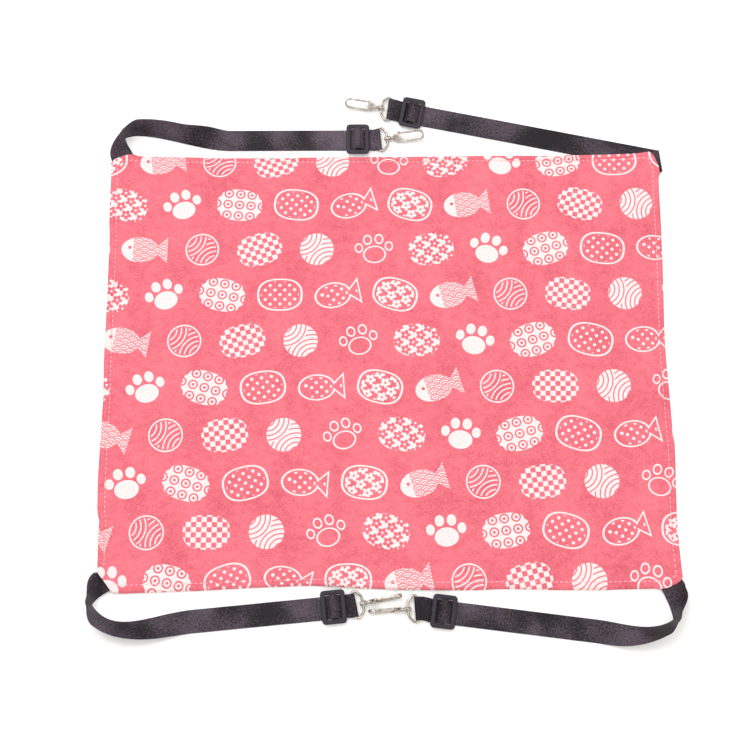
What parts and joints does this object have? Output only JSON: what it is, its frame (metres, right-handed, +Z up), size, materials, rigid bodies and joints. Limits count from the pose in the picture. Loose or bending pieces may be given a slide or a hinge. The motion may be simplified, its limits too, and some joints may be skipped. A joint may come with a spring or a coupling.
{
  "type": "hanging pet hammock",
  "caption": "Rectangular cloth hammock for a small pet, lying flat, with a webbing strap at each corner that folds over and ends in a slider, ring and snap hook.",
  "frame": {"origin": "middle of the cloth panel's underside", "axes": "+X along the long side, +Y along the short side away from the two front corners, +Z up"},
  "size_m": [0.5131, 0.5063, 0.0188],
  "materials": {
    "canvas": "printed woven cotton, matte",
    "fleece": "short plush pile",
    "thread": "spun thread",
    "webbing": "flat woven webbing with a faint sheen",
    "plastic": "moulded, lightly satin",
    "nickel": "nickel plate, polished",
    "steel": "plain"
  },
  "bodies": {
    "panel": {"back_fleece": "fleece", "front_canvas": "canvas", "topstitch": "thread", "front_left_strap_fold": "webbing", "front_right_strap_fold": "webbing", "back_left_strap_fold": "webbing", "back_right_strap_fold": "webbing"},
    "front_left_strap": {"front_left_strap_run": "webbing"},
    "front_left_adjuster": {"front_left_slider": "plastic"},
    "front_left_strap_end": {"front_left_strap_loop": "webbing"},
    "front_left_ring": {"front_left_hook_ring": "nickel"},
    "front_left_hook": {"front_left_hook_body": "nickel", "front_left_gate_pin": "steel", "front_left_gate_spring": "steel"},
    "front_left_gate": {"front_left_hook_gate": "nickel"},
    "front_right_strap": {"front_right_strap_run": "webbing"},
    "front_right_adjuster": {"front_right_slider": "plastic"},
    "front_right_strap_end": {"front_right_strap_loop": "webbing"},
    "front_right_ring": {"front_right_hook_ring": "nickel"},
    "front_right_hook": {"front_right_hook_body": "nickel", "front_right_gate_pin": "steel", "front_right_gate_spring": "steel"},
    "front_right_gate": {"front_right_hook_gate": "nickel"},
    "back_left_strap": {"back_left_strap_run": "webbing"},
    "back_left_adjuster": {"back_left_slider": "plastic"},
    "back_left_strap_end": {"back_left_strap_loop": "webbing"},
    "back_left_ring": {"back_left_hook_ring": "nickel"},
    "back_left_hook": {"back_left_hook_body": "nickel", "back_left_gate_pin": "steel", "back_left_gate_spring": "steel"},
    "back_left_gate": {"back_left_hook_gate": "nickel"},
    "back_right_strap": {"back_right_strap_run": "webbing"},
    "back_right_adjuster": {"back_right_slider": "plastic"},
    "back_right_strap_end": {"back_right_strap_loop": "webbing"},
    "back_right_ring": {"back_right_hook_ring": "nickel"},
    "back_right_hook": {"back_right_hook_body": "nickel", "back_right_gate_pin": "steel", "back_right_gate_spring": "steel"},
    "back_right_gate": {"back_right_hook_gate": "nickel"}
  },
  "joints": [
    {"name": "front_left_strap_swing", "type": "hinge", "parent": "panel", "child": "front_left_strap", "pos_m": [-0.2513, -0.2014, 0.00907], "axis": [0, -1, 0], "range_deg": [0, 135], "deforming": ["front_left_strap_fold"]},
    {"name": "front_left_strap_adjust", "type": "slide", "parent": "front_left_strap", "child": "front_left_adjuster", "axis": [-0.9957, -0.0924, 0], "range_m": [0, 0.09], "deforming": ["front_left_strap_run"]},
    {"name": "front_left_end_follow", "type": "slide", "parent": "front_left_adjuster", "child": "front_left_strap_end", "axis": [-0.9957, -0.0924, 0], "range_m": [-0.045, 0], "deforming": ["front_left_strap_loop"]},
    {"name": "front_left_ring_swing", "type": "hinge", "parent": "front_left_strap_end", "child": "front_left_ring", "pos_m": [-0.03067, -0.2139, 0.0026], "axis": [-0.1857, 0.9826, 0], "range_deg": [-120, 120]},
    {"name": "front_left_hook_swivel", "type": "hinge", "parent": "front_left_ring", "child": "front_left_hook", "pos_m": [-0.03067, -0.2139, 0.0026], "axis": [0.9796, 0.1851, 0.0785], "continuous": true},
    {"name": "front_left_gate_open", "type": "hinge", "parent": "front_left_hook", "child": "front_left_gate", "pos_m": [-0.01342, -0.21064, 0.00639], "axis": [-0.1857, 0.9826, 0], "range_deg": [0, 14], "stiffness_Nm_per_rad": 0.02, "springref_deg": -5.73, "deforming": ["front_left_gate_spring"]},
    {"name": "front_right_strap_swing", "type": "hinge", "parent": "panel", "child": "front_right_strap", "pos_m": [0.2458, -0.2145, 0.01008], "axis": [0.4384, 0.8988, 0], "range_deg": [0, 135], "deforming": ["front_right_strap_fold"]},
    {"name": "front_right_strap_adjust", "type": "slide", "parent": "front_right_strap", "child": "front_right_adjuster", "axis": [0.9914, -0.1305, 0], "range_m": [0, 0.09], "deforming": ["front_right_strap_run"]},
    {"name": "front_right_end_follow", "type": "slide", "parent": "front_right_adjuster", "child": "front_right_strap_end", "axis": [0.9914, -0.1305, 0], "range_m": [-0.045, 0], "deforming": ["front_right_strap_loop"]},
    {"name": "front_right_ring_swing", "type": "hinge", "parent": "front_right_strap_end", "child": "front_right_ring", "pos_m": [0.02348, -0.21705, 0.0026], "axis": [0.0698, -0.9976, 0], "range_deg": [-120, 120]},
    {"name": "front_right_hook_swivel", "type": "hinge", "parent": "front_right_ring", "child": "front_right_hook", "pos_m": [0.02348, -0.21705, 0.0026], "axis": [-0.9945, -0.0695, 0.0785], "continuous": true},
    {"name": "front_right_gate_open", "type": "hinge", "parent": "front_right_hook", "child": "front_right_gate", "pos_m": [0.00597, -0.21827, 0.00639], "axis": [0.0698, -0.9976, 0], "range_deg": [0, 14], "stiffness_Nm_per_rad": 0.02, "springref_deg": -5.73, "deforming": ["front_right_gate_spring"]},
    {"name": "back_left_strap_swing", "type": "hinge", "parent": "panel", "child": "back_left_strap", "pos_m": [-0.243, 0.2058, 0.00958], "axis": [-0.5, -0.866, 0], "range_deg": [0, 135], "deforming": ["back_left_strap_fold"]},
    {"name": "back_left_strap_adjust", "type": "slide", "parent": "back_left_strap", "child": "back_left_adjuster", "axis": [-1, 0, 0], "range_m": [0, 0.09], "deforming": ["back_left_strap_run"]},
    {"name": "back_left_end_follow", "type": "slide", "parent": "back_left_adjuster", "child": "back_left_strap_end", "axis": [-1, 0, 0], "range_m": [-0.045, 0], "deforming": ["back_left_strap_loop"]},
    {"name": "back_left_ring_swing", "type": "hinge", "parent": "back_left_strap_end", "child": "back_left_ring", "pos_m": [-0.00689, 0.2149, 0.0026], "axis": [-0.0958, 0.9954, 0], "range_deg": [-120, 120]},
    {"name": "back_left_hook_swivel", "type": "hinge", "parent": "back_left_ring", "child": "back_left_hook", "pos_m": [-0.00689, 0.2149, 0.0026], "axis": [0.9935, 0.0957, 0.061], "continuous": true},
    {"name": "back_left_gate_open", "type": "hinge", "parent": "back_left_hook", "child": "back_left_gate", "pos_m": [0.01052, 0.21876, 0.0047], "axis": [0.0146, 0.426, -0.9046], "range_deg": [0, 14], "stiffness_Nm_per_rad": 0.02, "springref_deg": -5.73, "deforming": ["back_left_gate_spring"]},
    {"name": "back_right_strap_swing", "type": "hinge", "parent": "panel", "child": "back_right_strap", "pos_m": [0.2504, 0.1928, 0.00166], "axis": [0.1062, -0.9943, 0], "range_deg": [0, 225], "deforming": ["back_right_strap_fold"]},
    {"name": "back_right_strap_adjust", "type": "slide", "parent": "back_right_strap", "child": "back_right_adjuster", "axis": [0.9788, -0.2046, 0], "range_m": [0, 0.09], "deforming": ["back_right_strap_run"]},
    {"name": "back_right_end_follow", "type": "slide", "parent": "back_right_adjuster", "child": "back_right_strap_end", "axis": [0.9788, -0.2046, 0], "range_m": [-0.045, 0], "deforming": ["back_right_strap_loop"]},
    {"name": "back_right_ring_swing", "type": "hinge", "parent": "back_right_strap_end", "child": "back_right_ring", "pos_m": [0.00384, 0.24524, 0.0026], "axis": [-0.1445, -0.9895, 0], "range_deg": [-120, 120]},
    {"name": "back_right_hook_swivel", "type": "hinge", "parent": "back_right_ring", "child": "back_right_hook", "pos_m": [0.00384, 0.24524, 0.0026], "axis": [-0.9877, 0.1442, 0.061], "continuous": true},
    {"name": "back_right_gate_open", "type": "hinge", "parent": "back_right_hook", "child": "back_right_gate", "pos_m": [-0.01336, 0.24995, 0.0047], "axis": [-0.0063, -0.4262, 0.9046], "range_deg": [0, 14], "stiffness_Nm_per_rad": 0.02, "springref_deg": -5.73, "deforming": ["back_right_gate_spring"]}
  ],
  "couplings": [
    {"joint": "front_left_end_follow", "follows": "front_left_strap_adjust", "ratio": -0.5},
    {"joint": "front_right_end_follow", "follows": "front_right_strap_adjust", "ratio": -0.5},
    {"joint": "back_left_end_follow", "follows": "back_left_strap_adjust", "ratio": -0.5},
    {"joint": "back_right_end_follow", "follows": "back_right_strap_adjust", "ratio": -0.5}
  ]
}
